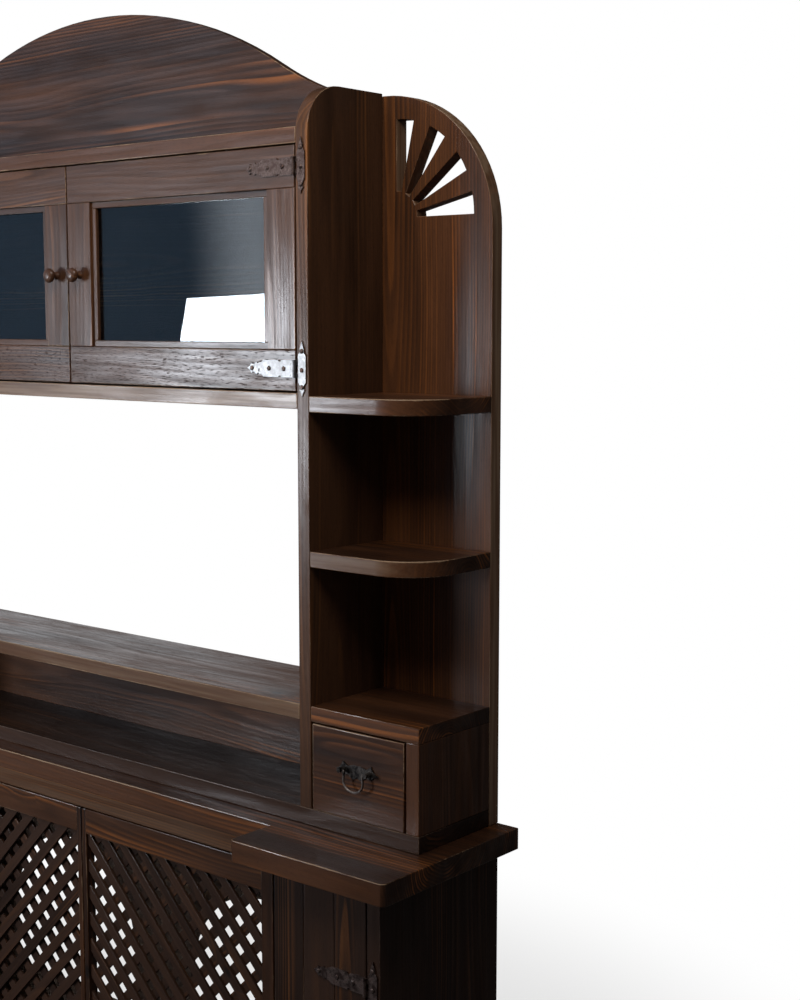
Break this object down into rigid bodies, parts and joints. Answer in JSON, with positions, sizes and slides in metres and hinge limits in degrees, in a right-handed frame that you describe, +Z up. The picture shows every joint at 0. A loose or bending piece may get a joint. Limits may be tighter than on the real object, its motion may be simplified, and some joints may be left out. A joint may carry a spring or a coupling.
{
  "type": "wall unit",
  "caption": "Dark-stained rustic pine wall unit: breakfront base with lattice and plank doors under an open hutch with glazed cabinet, drawers, fan-pierced towers and an arched crown.",
  "frame": {"origin": "middle of the base on the floor", "axes": "+Z up, +X to the viewer's right seen from the front, +Y towards the wall; the front faces -Y"},
  "size_m": [1.828, 0.364, 2.213],
  "materials": {
    "stained_pine": "dark stain, satin varnish",
    "inner_pine": "thin stain, unvarnished",
    "hinge_tin": "aged, partly rusted",
    "pull_iron": "dark, dull",
    "clear_glass": "clear, polished"
  },
  "bodies": {
    "carcass": {"hutch_floor": "stained_pine", "middle_shelf": "stained_pine", "cubby_back": "stained_pine", "cabinet_floor": "stained_pine", "cabinet_top": "stained_pine", "cabinet_back": "inner_pine", "crown": "stained_pine", "counter": "stained_pine", "base_floor": "stained_pine", "plinth": "stained_pine", "apron": "stained_pine", "base_back": "inner_pine", "right_upright": "stained_pine", "right_fan_board": "stained_pine", "right_low_shelf": "stained_pine", "right_high_shelf": "stained_pine", "right_drawer_case": "stained_pine", "right_base_side": "stained_pine", "right_divider": "stained_pine", "right_glass_high_plate": "hinge_tin", "right_glass_low_plate": "hinge_tin", "right_wing_high_plate": "hinge_tin", "right_wing_low_plate": "hinge_tin", "left_upright": "stained_pine", "left_fan_board": "stained_pine", "left_low_shelf": "stained_pine", "left_high_shelf": "stained_pine", "left_drawer_case": "stained_pine", "left_base_side": "stained_pine", "left_divider": "stained_pine", "left_glass_high_plate": "hinge_tin", "left_glass_low_plate": "hinge_tin", "left_wing_high_plate": "hinge_tin", "left_wing_low_plate": "hinge_tin"},
    "right_glass_door": {"right_glass_door": "stained_pine", "right_pane": "clear_glass", "right_glass_high_strap": "hinge_tin", "right_glass_low_strap": "hinge_tin"},
    "right_wing_door": {"right_wing_door": "stained_pine", "right_wing_high_strap": "hinge_tin", "right_wing_low_strap": "hinge_tin"},
    "right_lattice_door": {"right_lattice_door": "stained_pine", "right_lattice": "stained_pine"},
    "right_drawer": {"right_drawer_front": "stained_pine", "right_drawer_box": "inner_pine", "right_pull_plate": "pull_iron"},
    "right_bail": {"right_bail": "pull_iron"},
    "left_glass_door": {"left_glass_door": "stained_pine", "left_pane": "clear_glass", "left_glass_high_strap": "hinge_tin", "left_glass_low_strap": "hinge_tin"},
    "left_wing_door": {"left_wing_door": "stained_pine", "left_wing_high_strap": "hinge_tin", "left_wing_low_strap": "hinge_tin"},
    "left_lattice_door": {"left_lattice_door": "stained_pine", "left_lattice": "stained_pine"},
    "left_drawer": {"left_drawer_front": "stained_pine", "left_drawer_box": "inner_pine", "left_pull_plate": "pull_iron"},
    "left_bail": {"left_bail": "pull_iron"}
  },
  "joints": [
    {"name": "right_glass_hinge", "type": "hinge", "parent": "carcass", "child": "right_glass_door", "pos_m": [0.6015, -0.0435, 1.72], "axis": [0, 0, 1], "range_deg": [0, 165]},
    {"name": "right_wing_hinge", "type": "hinge", "parent": "carcass", "child": "right_wing_door", "pos_m": [0.8415, -0.1425, 0.4], "axis": [0, 0, 1], "range_deg": [0, 165]},
    {"name": "right_lattice_pivot", "type": "hinge", "parent": "carcass", "child": "right_lattice_door", "pos_m": [0.588, -0.032, 0.38], "axis": [0, 0, 1], "range_deg": [0, 88]},
    {"name": "right_drawer_slide", "type": "slide", "parent": "carcass", "child": "right_drawer", "axis": [0, -1, 0], "range_m": [0, 0.13]},
    {"name": "right_bail_swing", "type": "hinge", "parent": "right_drawer", "child": "right_bail", "pos_m": [0.73665, -0.0508, 0.8774], "axis": [-1, 0, 0], "range_deg": [0, 95]},
    {"name": "left_glass_hinge", "type": "hinge", "parent": "carcass", "child": "left_glass_door", "pos_m": [-0.6015, -0.0435, 1.72], "axis": [0, 0, -1], "range_deg": [0, 165]},
    {"name": "left_wing_hinge", "type": "hinge", "parent": "carcass", "child": "left_wing_door", "pos_m": [-0.8415, -0.1425, 0.4], "axis": [0, 0, -1], "range_deg": [0, 165]},
    {"name": "left_lattice_pivot", "type": "hinge", "parent": "carcass", "child": "left_lattice_door", "pos_m": [-0.588, -0.032, 0.38], "axis": [0, 0, -1], "range_deg": [0, 88]},
    {"name": "left_drawer_slide", "type": "slide", "parent": "carcass", "child": "left_drawer", "axis": [0, -1, 0], "range_m": [0, 0.13]},
    {"name": "left_bail_swing", "type": "hinge", "parent": "left_drawer", "child": "left_bail", "pos_m": [-0.73665, -0.0508, 0.8774], "axis": [-1, 0, 0], "range_deg": [0, 95]}
  ]
}
